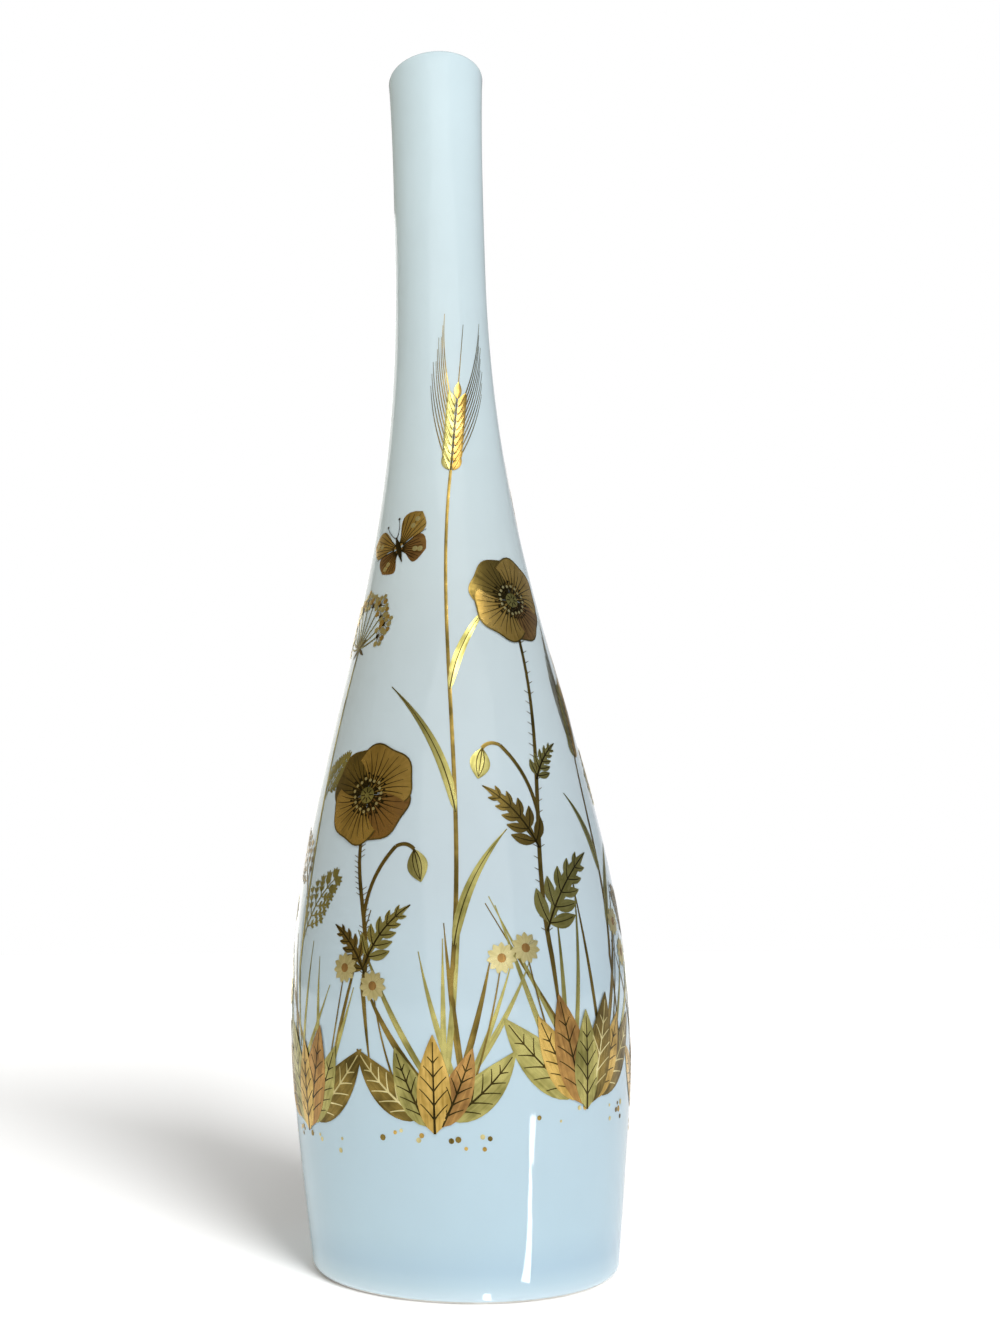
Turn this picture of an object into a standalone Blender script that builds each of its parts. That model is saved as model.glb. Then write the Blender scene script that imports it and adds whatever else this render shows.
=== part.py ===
"""Tall porcelain bottle vase: a slip-cast body, its fired glaze coats and the gilding painted over the glaze.

Metres, +Z up. The origin is the centre of the foot's resting plane, and the front of the vase faces -Y.
"""

import math

import bmesh
import bpy
from mathutils import Vector
from mathutils.geometry import delaunay_2d_cdt, interpolate_bezier

MM = 0.001

# Outside of the glazed vase
HEIGHT = 310.0 * MM
FOOT_RADIUS = 34.9 * MM
FOOT_ROUNDING = 2.5 * MM
FOOT_TAPER = 0.12
BELLY_RADIUS = 40.1 * MM
BELLY_HEIGHT = 56.0 * MM
NECK_RADIUS = 12.2 * MM
NECK_HEIGHT = 250.0 * MM
RIM_RADIUS = 13.1 * MM
RIM_FLARE = 0.05

# How far each bend of the outline reaches along it
FOOT_REACH = 18.0 * MM
BELLY_REACH_DOWN = 18.0 * MM
BELLY_REACH_UP = 60.0 * MM
NECK_REACH_DOWN = 95.0 * MM
NECK_REACH_UP = 20.0 * MM
RIM_REACH = 20.0 * MM

# Walls and layers
RIM_WALL = 2.6 * MM
BELLY_WALL = 3.6 * MM
FLOOR_THICKNESS = 6.0 * MM
FLOOR_ROUNDING = 9.0 * MM
FOOT_RING_WIDTH = 3.0 * MM
FOOT_RECESS = 2.6 * MM
RECESS_SLOPE = 1.5 * MM
GLAZE = 0.3 * MM
BOND_GAP = 0.3 * MM
GILT = 0.3 * MM
GLAZE_STOP = math.radians(-50.0)
BARE_START = math.radians(-60.0)

# Facets
SIDES = 44
FOOT_STEPS = 4
SHOULDER_STEPS = 10
LIP_STEPS = 3
ROUND_STEPS = 3
LEAF_STEPS = 4
STEM_STEPS = 8

# Gilt lines and small forms, millimetres on the glaze
STEM_WIDTH = 1.3
FINE_WIDTH = 0.8
TIP_WIDTH = 0.5
FLORET_RADIUS = 1.9
RAY_DROP = 0.6
RAY_BOW = 0.4
GRAIN_WIDTH = 3.4
GRAIN_NARROWING = 0.4
KNOT_RADIUS = 2.6
KNOT_SPREAD = 1.1
KNOT_STAGGER = 0.3
BODY_WIDTH = 1.6
BODY_END_WIDTH = 1.0
WELD = 0.02

# Headings of the gilt leaves, rays, awns and wings, degrees from upright
LEAF_HEADING = 34.0
RAY_STEP = 24.0
AWN_HEADING = 14.0
FAN_HEADING = 52.0
FORE_WING_HEADING = 48.0
HIND_WING_HEADING = 118.0

# Proportions of the gilt leaves, as shares of their length
STEM_LEAF_WIDTH = 0.22
STEM_LEAF_BOW = 0.12
CLUMP_LEAF_WIDTH = 0.26
CLUMP_LEAF_BOW = 0.1
CLUMP_LEAF_SHORTENING = 0.14

# The gilt plants round the vase. Bearings are degrees from the front, positive to the viewer's right, and
# the other sizes millimetres on the glaze. A leaf is (share of the stem, side, length).
POPPIES = {
    "gilt_poppy_tall": dict(
        at=31.0, foot=70.0, top=148.0, lean=4.0, sway=-4.0, bloom=9.5, leaves=((0.1, 1, 17), (0.4, -1, 13))
    ),
    "gilt_poppy_low": dict(
        at=-31.0, foot=64.0, top=100.0, lean=-2.0, sway=3.0, bloom=10.0, leaves=((0.2, -1, 11), (0.2, 1, 12))
    ),
    "gilt_poppy_back": dict(
        at=174.0, foot=70.0, top=130.0, lean=2.0, sway=4.0, bloom=10.0, leaves=((0.1, 1, 16), (0.3, -1, 16))
    ),
}
UMBELS = {
    "gilt_umbel_tall": dict(
        at=-66.0, foot=68.0, top=144.0, lean=2.0, sway=4.0, spread=10.0, leaves=((0.1, 1, 13), (0.2, -1, 18))
    ),
    "gilt_umbel_low": dict(
        at=90.0, foot=68.0, top=106.0, lean=3.0, sway=-3.0, spread=12.0, leaves=((0.2, -1, 13),)
    ),
    "gilt_umbel_back": dict(
        at=-120.0, foot=70.0, top=140.0, lean=2.0, sway=-4.0, spread=10.0, leaves=((0.15, 1, 16),)
    ),
}
BARLEYS = {
    "gilt_barley_tall": dict(
        at=-2.0, foot=64.0, top=188.0, lean=2.0, sway=5.0, ear=34.0, leaves=((0.1, 1, 15), (0.5, -1, 16))
    ),
    "gilt_barley_right": dict(
        at=60.0, foot=70.0, top=116.0, lean=3.0, sway=3.0, ear=26.0, leaves=((0.2, 1, 12),)
    ),
    "gilt_barley_back": dict(
        at=130.0, foot=70.0, top=156.0, lean=-4.0, sway=-4.0, ear=30.0, leaves=((0.3, 1, 20),)
    ),
}
CLUMPS = {
    "gilt_leaves_front": dict(at=-8.0, foot=38.0, reach=19.0, count=5),
    "gilt_leaves_right": dict(at=43.0, foot=42.0, reach=23.0, count=7),
    "gilt_leaves_far_right": dict(at=95.0, foot=37.0, reach=20.0, count=5),
    "gilt_leaves_back_right": dict(at=146.0, foot=41.0, reach=20.0, count=5),
    "gilt_leaves_back_left": dict(at=-162.0, foot=37.0, reach=21.0, count=7),
    "gilt_leaves_far_left": dict(at=-111.0, foot=42.0, reach=20.0, count=5),
    "gilt_leaves_left": dict(at=-60.0, foot=36.0, reach=22.0, count=7),
}
BUTTERFLIES = {
    "gilt_butterfly_front": dict(at=-36.0, centre=168.0, wing=7.5, tilt=-20.0),
    "gilt_butterfly_back": dict(at=-150.0, centre=184.0, wing=7.0, tilt=20.0),
}


def clear_scene():
    for thing in list(bpy.data.objects):
        bpy.data.objects.remove(thing, do_unlink=True)


def new_collection(name):
    collection = bpy.data.collections.new(name)
    bpy.context.scene.collection.children.link(collection)
    return collection


def material(name, colour, roughness, metallic=0.0):
    made = bpy.data.materials.new(name)
    made.use_nodes = True
    shader = made.node_tree.nodes["Principled BSDF"]
    shader.inputs["Base Color"].default_value = (*colour, 1.0)
    shader.inputs["Roughness"].default_value = roughness
    shader.inputs["Metallic"].default_value = metallic
    return made


def arc(centre, radius, start, end, steps):
    """Points on a circle in the (radius, height) plane, angles from the outward direction."""
    turns = [start + (end - start) * step / steps for step in range(steps + 1)]
    return [Vector((centre[0] + radius * math.cos(a), centre[1] + radius * math.sin(a))) for a in turns]


def bezier(start, start_handle, end_handle, end, steps):
    return [Vector(p[:2]) for p in interpolate_bezier(start, start_handle, end_handle, end, steps + 1)]


def outer_wall():
    """The glazed outside from the foot up to the rim, as (radius, height) points."""
    up = Vector((0.0, 1.0))
    foot = Vector((FOOT_RADIUS, 0.0))
    foot_handle = Vector((FOOT_RADIUS + FOOT_TAPER * FOOT_REACH, FOOT_REACH))
    belly = Vector((BELLY_RADIUS, BELLY_HEIGHT))
    neck = Vector((NECK_RADIUS, NECK_HEIGHT))
    rim = Vector((RIM_RADIUS, HEIGHT))
    rim_handle = Vector((RIM_RADIUS - RIM_FLARE * RIM_REACH, HEIGHT - RIM_REACH))
    lower = bezier(foot, foot_handle, belly - up * BELLY_REACH_DOWN, belly, FOOT_STEPS)
    shoulder_handles = (belly + up * BELLY_REACH_UP, neck - up * NECK_REACH_DOWN)
    shoulder = bezier(belly, *shoulder_handles, neck, SHOULDER_STEPS)
    lip = bezier(neck, neck + up * NECK_REACH_UP, rim_handle, rim, LIP_STEPS)
    return lower + shoulder[1:] + lip[1:]


def radius_at(height):
    """Outside radius of the glazed vase at a height."""
    wall = outer_wall()
    for below, above in zip(wall, wall[1:]):
        if height <= above.y:
            share = (height - below.y) / (above.y - below.y)
            return below.x + (above.x - below.x) * share
    return wall[-1].x


def wall_thickness(height):
    share = min(1.0, max(0.0, (height - BELLY_HEIGHT) / (NECK_HEIGHT - BELLY_HEIGHT)))
    return BELLY_WALL + (RIM_WALL - BELLY_WALL) * share


def foot_edge(start, end):
    """The rounded edge of the foot: angle 0 is the side, -90 degrees the resting ring."""
    centre = (radius_at(FOOT_ROUNDING) - FOOT_ROUNDING, FOOT_ROUNDING)
    return arc(centre, FOOT_ROUNDING, start, end, ROUND_STEPS)


def lip_edge(start, end):
    """The fully rounded lip: angle 0 is its outer side, 180 degrees its inner side."""
    radius = RIM_WALL / 2
    return arc((RIM_RADIUS - radius, HEIGHT - radius), radius, start, end, ROUND_STEPS)


def outside_skin(lip_end):
    """The glazed outside, from where the glaze stops at the foot up over the lip."""
    side = [p for p in outer_wall() if FOOT_ROUNDING * 1.5 < p.y < HEIGHT - RIM_WALL]
    return foot_edge(GLAZE_STOP, 0.0) + side + lip_edge(0.0, lip_end)


def inside_skin(lip_start):
    """The glazed inside, from the lip down to the middle of the floor."""
    corner_height = FLOOR_THICKNESS + FLOOR_ROUNDING
    corner_centre = (radius_at(corner_height) - BELLY_WALL - FLOOR_ROUNDING, corner_height)
    corner = arc(corner_centre, FLOOR_ROUNDING, 0.0, -math.pi / 2, ROUND_STEPS)
    side = [
        Vector((p.x - wall_thickness(p.y), p.y))
        for p in reversed(outer_wall())
        if corner_height * 1.2 < p.y < HEIGHT - RIM_WALL
    ]
    return lip_edge(lip_start, math.pi) + side + corner + [Vector((0.0, FLOOR_THICKNESS))]


def inset(line, depth):
    """The line moved into the wall, to its left as it runs; an end on the axis stays there."""
    moved = []
    for index, point in enumerate(line):
        before = line[max(index - 1, 0)]
        after = line[min(index + 1, len(line) - 1)]
        along = (after - before).normalized()
        shifted = point + Vector((-along.y, along.x)) * depth
        moved.append(Vector((0.0 if point.x == 0.0 else shifted.x, shifted.y)))
    return moved


def turned(name, outline, finish, collection):
    """A turned piece. The outline runs down its outer side; one that ends off the axis is closed."""
    mesh = bpy.data.meshes.new(name)
    edges = [(i, i + 1) for i in range(len(outline) - 1)]
    if outline[0].x > 0.0:
        edges.append((len(outline) - 1, 0))
    mesh.from_pydata([(p.x, 0.0, p.y) for p in outline], edges, [])
    mesh.materials.append(finish)
    piece = bpy.data.objects.new(name, mesh)
    collection.objects.link(piece)
    screw = piece.modifiers.new("turn", "SCREW")
    screw.steps = SIDES
    screw.render_steps = SIDES
    screw.use_merge_vertices = True
    screw.merge_threshold = 0.00001
    screw.use_smooth_shade = True
    return piece


def porcelain_body(finish, collection):
    """The cast body: hollow, bare on its resting ring, recessed underneath."""
    depth = GLAZE + BOND_GAP
    inside = inset(inside_skin(math.pi / 2), depth)
    outside = inset(outside_skin(math.pi / 2), depth)
    bare = foot_edge(BARE_START, -math.pi / 2)
    ring_inner = bare[-1].x - FOOT_RING_WIDTH
    under = [
        Vector((ring_inner, 0.0)),
        Vector((ring_inner - RECESS_SLOPE, FOOT_RECESS)),
        Vector((0.0, FOOT_RECESS)),
    ]
    return turned("porcelain_body", inside[::-1] + outside[-2::-1] + bare + under, finish, collection)


def glaze_coats(finish, collection):
    """The outer coat, the lining and the disc under the foot, parted by the bond gap at the lip."""
    half_gap = math.asin(BOND_GAP / 2 / (RIM_WALL / 2 - GLAZE))
    outer = outside_skin(math.pi / 2 - half_gap)
    inner = inside_skin(math.pi / 2 + half_gap)
    turned("outer_glaze", outer[::-1] + inset(outer, GLAZE), finish["outer_glaze"], collection)
    turned("inner_glaze", inner[::-1] + inset(inner, GLAZE), finish["inner_glaze"], collection)
    ring_inner = foot_edge(BARE_START, -math.pi / 2)[-1].x - FOOT_RING_WIDTH
    disc_radius = ring_inner - RECESS_SLOPE - BOND_GAP
    top = FOOT_RECESS - BOND_GAP
    bottom = top - GLAZE
    disc = [
        Vector((0.0, top)),
        Vector((disc_radius, top)),
        Vector((disc_radius, bottom)),
        Vector((0.0, bottom)),
    ]
    turned("base_glaze", disc, finish["base_glaze"], collection)


# Flat outlines of the gilding, as (across, up) millimetres


def curve_points(start, heading, length, bow, steps):
    """A bowed line: heading in degrees from upright, bow the sideways swing at mid length."""
    turn = math.radians(heading)
    ahead = Vector((math.sin(turn), math.cos(turn)))
    aside = Vector((ahead.y, -ahead.x))
    start = Vector(start)
    middle = start + ahead * length * 0.5 + aside * bow
    end = start + ahead * length
    shares = [step / steps for step in range(steps + 1)]
    return [start * (1 - t) ** 2 + middle * 2 * t * (1 - t) + end * t * t for t in shares]


def ribbon(line, widths):
    """The outline of a line drawn with a changing width."""
    left = []
    right = []
    for index, point in enumerate(line):
        along = (line[min(index + 1, len(line) - 1)] - line[max(index - 1, 0)]).normalized()
        side = Vector((-along.y, along.x)) * widths[index] / 2
        left.append(point + side)
        right.append(point - side)
    return right + left[::-1]


def leaf(start, heading, length, width, bow):
    line = curve_points(start, heading, length, bow, LEAF_STEPS)
    shares = [step / LEAF_STEPS for step in range(LEAF_STEPS + 1)]
    widths = [max(TIP_WIDTH, width * math.sin(math.pi * t ** 0.8)) for t in shares]
    return ribbon(line, widths)


def scallop(centre, radius, lobes, depth, points):
    outline = []
    for step in range(points):
        turn = math.tau * step / points
        reach = radius * (1.0 - depth * (0.5 + 0.5 * math.cos(lobes * turn)))
        outline.append(Vector((centre[0] + reach * math.sin(turn), centre[1] + reach * math.cos(turn))))
    return outline[::-1]


def stalk(foot, top, lean, sway, leaves):
    """A swaying stem with its leaves, and the point at its top."""
    third = (top - foot) / 3
    handles = (Vector((sway, foot + third)), Vector((lean - sway, top - third)))
    line = bezier(Vector((0.0, foot)), *handles, Vector((lean, top)), STEM_STEPS)
    shapes = [ribbon(line, [STEM_WIDTH] * len(line))]
    for share, side, reach in leaves:
        start = line[round(share * STEM_STEPS)]
        bow = -side * reach * STEM_LEAF_BOW
        shapes.append(leaf(start, side * LEAF_HEADING, reach, reach * STEM_LEAF_WIDTH, bow))
    return shapes, line[-1]


def poppy(foot, top, lean, sway, bloom, leaves):
    shapes, tip = stalk(foot, top, lean, sway, leaves)
    shapes.append(scallop(tip + Vector((0.0, bloom * 0.7)), bloom, 5, 0.25, 20))
    return shapes


def umbel(foot, top, lean, sway, spread, leaves):
    shapes, tip = stalk(foot, top, lean, sway, leaves)
    for ray in range(-3, 4):
        line = curve_points(tip - Vector((0.0, RAY_DROP)), ray * RAY_STEP, spread, ray * RAY_BOW, 2)
        shapes.append(ribbon(line, [FINE_WIDTH] * len(line)))
        shapes.append(scallop(line[-1], FLORET_RADIUS, 6, 0.0, 6))
    return shapes


def barley(foot, top, lean, sway, ear, leaves):
    shapes, tip = stalk(foot, top, lean, sway, leaves)
    grains = 4
    left = []
    right = []
    for grain in range(grains):
        low = grain / grains * ear * 0.6
        high = (grain + 0.85) / grains * ear * 0.6
        width = GRAIN_WIDTH - GRAIN_NARROWING * grain
        right += [tip + Vector((width * 0.4, low)), tip + Vector((width, high))]
        left += [tip + Vector((-width * 0.4, low)), tip + Vector((-width, high))]
    shapes.append(right + [tip + Vector((0.0, ear * 0.7))] + left[::-1])
    for heading in (-AWN_HEADING, 0.0, AWN_HEADING):
        line = curve_points(tip + Vector((0.0, ear * 0.3)), heading, ear * 0.7, 0.0, 2)
        shapes.append(ribbon(line, [FINE_WIDTH, FINE_WIDTH, TIP_WIDTH]))
    return shapes


def clump(foot, reach, count):
    shapes = [scallop((0.0, foot), KNOT_RADIUS, 6, 0.0, 9)]
    for index in range(count):
        spread = 2.0 * index / (count - 1) - 1.0
        length = reach * (1.0 - CLUMP_LEAF_SHORTENING * (index % 2))
        start = (spread * KNOT_SPREAD, foot + KNOT_STAGGER * (index % 2))
        bow = spread * length * CLUMP_LEAF_BOW
        shapes.append(leaf(start, spread * FAN_HEADING, length, length * CLUMP_LEAF_WIDTH, bow))
    return shapes


def butterfly(centre, wing, tilt):
    middle = Vector((0.0, centre))
    body = curve_points(middle - Vector((0.0, wing * 0.45)), 0.0, wing * 0.9, 0.0, 2)
    shapes = [ribbon(body, [BODY_END_WIDTH, BODY_WIDTH, BODY_END_WIDTH])]
    for side in (-1, 1):
        shapes.append(leaf(middle, tilt + side * FORE_WING_HEADING, wing * 1.2, wing * 0.8, 0.0))
        shapes.append(leaf(middle, tilt + side * HIND_WING_HEADING, wing * 0.85, wing * 0.7, 0.0))
    return shapes


def flat_sheet(shapes):
    """One flat sheet over all the shapes that overlap one another, in across-up millimetres."""
    corners = [point for outline in shapes for point in outline]
    loops = []
    for outline in shapes:
        first = sum(len(loop) for loop in loops)
        loops.append(list(range(first, first + len(outline))))
    points, edges, faces, *origins = delaunay_2d_cdt(corners, [], loops, 1, WELD)
    bm = bmesh.new()
    verts = [bm.verts.new((p.x, p.y, 0.0)) for p in points]
    for face in faces:
        bm.faces.new([verts[index] for index in face])
    bmesh.ops.recalc_face_normals(bm, faces=bm.faces)
    bmesh.ops.dissolve_limit(bm, angle_limit=0.001, verts=bm.verts, edges=bm.edges)
    return bm


def wrap(bm, bearing):
    """Bend a flat sheet on to the glaze, facet for facet, one bond gap clear of it, and thicken it."""
    facet = math.tau / SIDES
    for vert in bm.verts:
        height = vert.co.y * MM
        turn = math.radians(bearing) + vert.co.x * MM / radius_at(height)
        vert.co = (turn / facet, vert.co.y, 0.0)
    low = math.floor(min(v.co.x for v in bm.verts))
    high = math.ceil(max(v.co.x for v in bm.verts))
    cuts = [((step, 0.0, 0.0), (1.0, 0.0, 0.0)) for step in range(low, high + 1)]
    cuts += [((0.0, p.y / MM, 0.0), (0.0, 1.0, 0.0)) for p in outer_wall()]
    for point, normal in cuts:
        everything = bm.verts[:] + bm.edges[:] + bm.faces[:]
        bmesh.ops.bisect_plane(bm, geom=everything, dist=0.0001, plane_co=point, plane_no=normal)
    raised = bmesh.ops.extrude_face_region(bm, geom=bm.faces[:], use_keep_orig=True)
    lifted = {v for v in raised["geom"] if isinstance(v, bmesh.types.BMVert)}
    for vert in bm.verts:
        turn = vert.co.x * facet
        height = vert.co.y * MM
        within = (vert.co.x - math.floor(vert.co.x) - 0.5) * facet
        flat_radius = radius_at(height) * math.cos(facet / 2) / math.cos(within)
        radius = flat_radius + BOND_GAP + (GILT if vert in lifted else 0.0)
        vert.co = (radius * math.sin(turn), -radius * math.cos(turn), height)
    bmesh.ops.recalc_face_normals(bm, faces=bm.faces)
    if bm.calc_volume(signed=True) < 0.0:
        bmesh.ops.reverse_faces(bm, faces=bm.faces)


def gilding(kinds, collection):
    """Each painted plant or butterfly as its own gilt piece."""
    for draw, sprays, finish in kinds:
        for name, spray in sprays.items():
            sizes = {key: value for key, value in spray.items() if key != "at"}
            bm = flat_sheet(draw(**sizes))
            wrap(bm, spray["at"])
            mesh = bpy.data.meshes.new(name)
            bm.to_mesh(mesh)
            bm.free()
            mesh.materials.append(finish)
            collection.objects.link(bpy.data.objects.new(name, mesh))


def build():
    clear_scene()
    vase = new_collection("porcelain_bottle_vase")
    porcelain_body(material("bisque_porcelain", (0.82, 0.81, 0.77), 0.6), vase)
    finish = {
        "outer_glaze": material("outer_glaze", (0.62, 0.75, 0.80), 0.08),
        "inner_glaze": material("inner_glaze", (0.66, 0.76, 0.80), 0.1),
        "base_glaze": material("base_glaze", (0.64, 0.75, 0.80), 0.1),
    }
    glaze_coats(finish, vase)
    kinds = (
        (poppy, POPPIES, material("yellow_gilt", (0.50, 0.40, 0.11), 0.25, 1.0)),
        (umbel, UMBELS, material("pale_gilt", (0.62, 0.57, 0.30), 0.25, 1.0)),
        (barley, BARLEYS, material("green_gilt", (0.40, 0.38, 0.16), 0.25, 1.0)),
        (clump, CLUMPS, material("bronze_gilt", (0.30, 0.24, 0.09), 0.3, 1.0)),
        (butterfly, BUTTERFLIES, material("copper_gilt", (0.40, 0.26, 0.10), 0.25, 1.0)),
    )
    gilding(kinds, vase)


build()
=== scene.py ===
import math
import random

import bmesh
import bpy
import numpy as np
from mathutils import Matrix, Vector


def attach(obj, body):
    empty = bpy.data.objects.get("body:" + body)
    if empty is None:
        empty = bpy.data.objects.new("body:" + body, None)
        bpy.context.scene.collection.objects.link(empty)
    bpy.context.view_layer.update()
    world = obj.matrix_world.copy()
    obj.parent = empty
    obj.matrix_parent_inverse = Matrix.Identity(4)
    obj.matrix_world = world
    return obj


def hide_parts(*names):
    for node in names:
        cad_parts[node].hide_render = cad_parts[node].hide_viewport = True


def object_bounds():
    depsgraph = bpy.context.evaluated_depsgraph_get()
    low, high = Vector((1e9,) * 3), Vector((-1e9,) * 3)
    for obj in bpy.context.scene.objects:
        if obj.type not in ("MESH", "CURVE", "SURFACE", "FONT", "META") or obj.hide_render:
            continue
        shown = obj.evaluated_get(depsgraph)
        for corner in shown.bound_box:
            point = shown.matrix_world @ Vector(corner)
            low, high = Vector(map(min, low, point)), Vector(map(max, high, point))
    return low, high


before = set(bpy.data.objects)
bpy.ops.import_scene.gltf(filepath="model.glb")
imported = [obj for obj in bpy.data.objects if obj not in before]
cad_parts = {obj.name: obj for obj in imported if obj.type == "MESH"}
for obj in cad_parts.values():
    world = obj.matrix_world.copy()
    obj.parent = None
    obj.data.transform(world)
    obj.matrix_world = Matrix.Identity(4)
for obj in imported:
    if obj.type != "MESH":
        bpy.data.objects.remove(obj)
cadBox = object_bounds()
mm = 0.001
dice = random.Random(11)


# outline of the vase: radius and height in millimetres

vaseShape = dict(
    height=310.0, footRadius=34.9, footTaper=0.12, footRounding=2.5, footReach=18.0,
    bellyRadius=40.1, bellyHeight=56.0, bellyDown=18.0, bellyUp=60.0,
    neckRadius=12.2, neckHeight=250.0, neckDown=95.0, neckUp=20.0,
    rimRadius=13.1, rimFlare=0.05, rimReach=20.0, rimWall=2.6, bellyWall=3.6,
    floor=6.0, floorRounding=9.0, ringWidth=3.0, ringBevel=(0.4, 0.25), recess=2.6, recessSlope=1.5,
    glaze=0.3, bond=0.02, glazeStop=-50.0, bareStart=-54.0,  # the last two in degrees round the foot's edge
    discGap=0.2, discBevel=(0.4, 0.12),
    footClear=1.3, floorClear=1.2,  # how far above a rounding the side begins
    lowerSteps=22, middleSteps=60, upperSteps=16, footSteps=6, lipSteps=8, floorSteps=10, turns=160,
)


def bezierRun(a, b, c, d, steps):
    run = []
    for i in range(steps + 1):
        t = i / steps
        run.append(a * (1 - t) ** 3 + b * 3 * t * (1 - t) ** 2 + c * 3 * t * t * (1 - t) + d * t ** 3)
    return run


def outsideWall(s):
    foot = Vector((s["footRadius"], 0))
    belly = Vector((s["bellyRadius"], s["bellyHeight"]))
    neck = Vector((s["neckRadius"], s["neckHeight"]))
    rim = Vector((s["rimRadius"], s["height"]))
    footPull = foot + Vector((s["footTaper"], 1)) * s["footReach"]
    rimPull = rim - Vector((s["rimFlare"], 1)) * s["rimReach"]
    up = Vector((0, 1))
    lower = bezierRun(foot, footPull, belly - up * s["bellyDown"], belly, s["lowerSteps"])
    middle = bezierRun(belly, belly + up * s["bellyUp"], neck - up * s["neckDown"], neck, s["middleSteps"])
    upper = bezierRun(neck, neck + up * s["neckUp"], rimPull, rim, s["upperSteps"])
    return lower + middle[1:] + upper[1:]


wall = outsideWall(vaseShape)
wallHeights = np.array([p.y for p in wall])
wallRadii = np.array([p.x for p in wall])


def radiusAt(height):
    return float(np.interp(height, wallHeights, wallRadii))


def arcRun(centre, radius, start, end, steps):
    turns = [math.radians(start + (end - start) * i / steps) for i in range(steps + 1)]
    return [Vector((centre[0] + radius * math.cos(a), centre[1] + radius * math.sin(a))) for a in turns]


def footEdge(s, start, end):
    rounding = s["footRounding"]
    return arcRun((radiusAt(rounding) - rounding, rounding), rounding, start, end, s["footSteps"])


def lipEdge(s, start, end):
    half = s["rimWall"] / 2
    return arcRun((s["rimRadius"] - half, s["height"] - half), half, start, end, s["lipSteps"])


def outsideSkin(s):
    side = [p for p in wall if s["footRounding"] * s["footClear"] < p.y < s["height"] - s["rimWall"]]
    return footEdge(s, s["glazeStop"], 0) + side + lipEdge(s, 0, 90)


def insideSkin(s):
    low = s["floor"] + s["floorRounding"]
    span = s["neckHeight"] - s["bellyHeight"]
    side = []
    for p in reversed(wall):
        if low * s["floorClear"] < p.y < s["height"] - s["rimWall"]:
            share = min(1, max(0, (p.y - s["bellyHeight"]) / span))
            side.append(Vector((p.x - s["bellyWall"] + (s["bellyWall"] - s["rimWall"]) * share, p.y)))
    corner = (radiusAt(low) - s["bellyWall"] - s["floorRounding"], low)
    bottom = arcRun(corner, s["floorRounding"], 0, -90, s["floorSteps"])
    return lipEdge(s, 90, 180) + side + bottom + [Vector((0, s["floor"]))]


def insetRun(line, depth):
    moved = []
    for i, p in enumerate(line):
        along = (line[min(i + 1, len(line) - 1)] - line[max(i - 1, 0)]).normalized()
        aside = p + Vector((-along.y, along.x)) * depth
        moved.append(Vector((0 if p.x == 0 else aside.x, aside.y)))
    return moved


# colours and nodes

def hexColour(text):
    channels = [int(text[i:i + 2], 16) / 255 for i in (1, 3, 5)]
    return tuple(c / 12.92 if c <= 0.04045 else ((c + 0.055) / 1.055) ** 2.4 for c in channels) + (1.0,)


# a socket takes a value or another node's output, and stops are a ramp's positions and colours in order
def addNode(tree, kind, sockets=None, stops=(), **settings):
    node = tree.nodes.new(kind)
    for name, value in settings.items():
        setattr(node, name, value)
    for key, value in (sockets or {}).items():
        if isinstance(value, bpy.types.NodeSocket):
            tree.links.new(value, node.inputs[key])
        else:
            node.inputs[key].default_value = value
    for i, (position, colour) in enumerate(stops):
        points = node.color_ramp.elements
        point = points[i] if i < len(points) else points.new(position)
        point.position = position
        point.color = colour
    return node


def startMaterial(name):
    material = bpy.data.materials.new(name)
    material.use_nodes = True
    tree = material.node_tree
    tree.nodes.clear()
    coords = addNode(tree, "ShaderNodeTexCoord")
    shader = addNode(tree, "ShaderNodeBsdfPrincipled")
    addNode(tree, "ShaderNodeOutputMaterial", {"Surface": shader.outputs[0]})
    return material, tree, coords.outputs["Object"], shader


# materials

# felspathic glaze over porcelain: wet gloss, a cool white that turns bluer where it pools towards the foot
glazeLook = dict(
    tints={  # by share of the height: pale at the foot's edge, where the glaze runs thin and painted light from the white floor brightens it, and bluest just above it
        0.0: "#DCEDF6", 0.005: "#D8ECF6", 0.011: "#C8E1EE", 0.021: "#BAD6E7",
        0.042: "#C2DDEB", 0.16: "#C5DCE8", 0.28: "#C8D8E0", 0.5: "#CCDADE", 0.72: "#D2E4EA", 1.0: "#D6EAF1",
    },
    cloudMm=34.0, cloudFrom=0.3, cloudFull=0.7, cloudDepth=0.05,
    peelMm=11.0, peelStretch=3.0, peelDepthMm=0.3, peelFine=0.32,  # orange peel, drawn coarse so that it shows
    roughness=0.055, wetter=0.7, drier=1.4, ior=1.52,
)
liningLook = dict(glazeLook, roughness=0.1)  # thinner inside and under the foot, so a little duller


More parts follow.
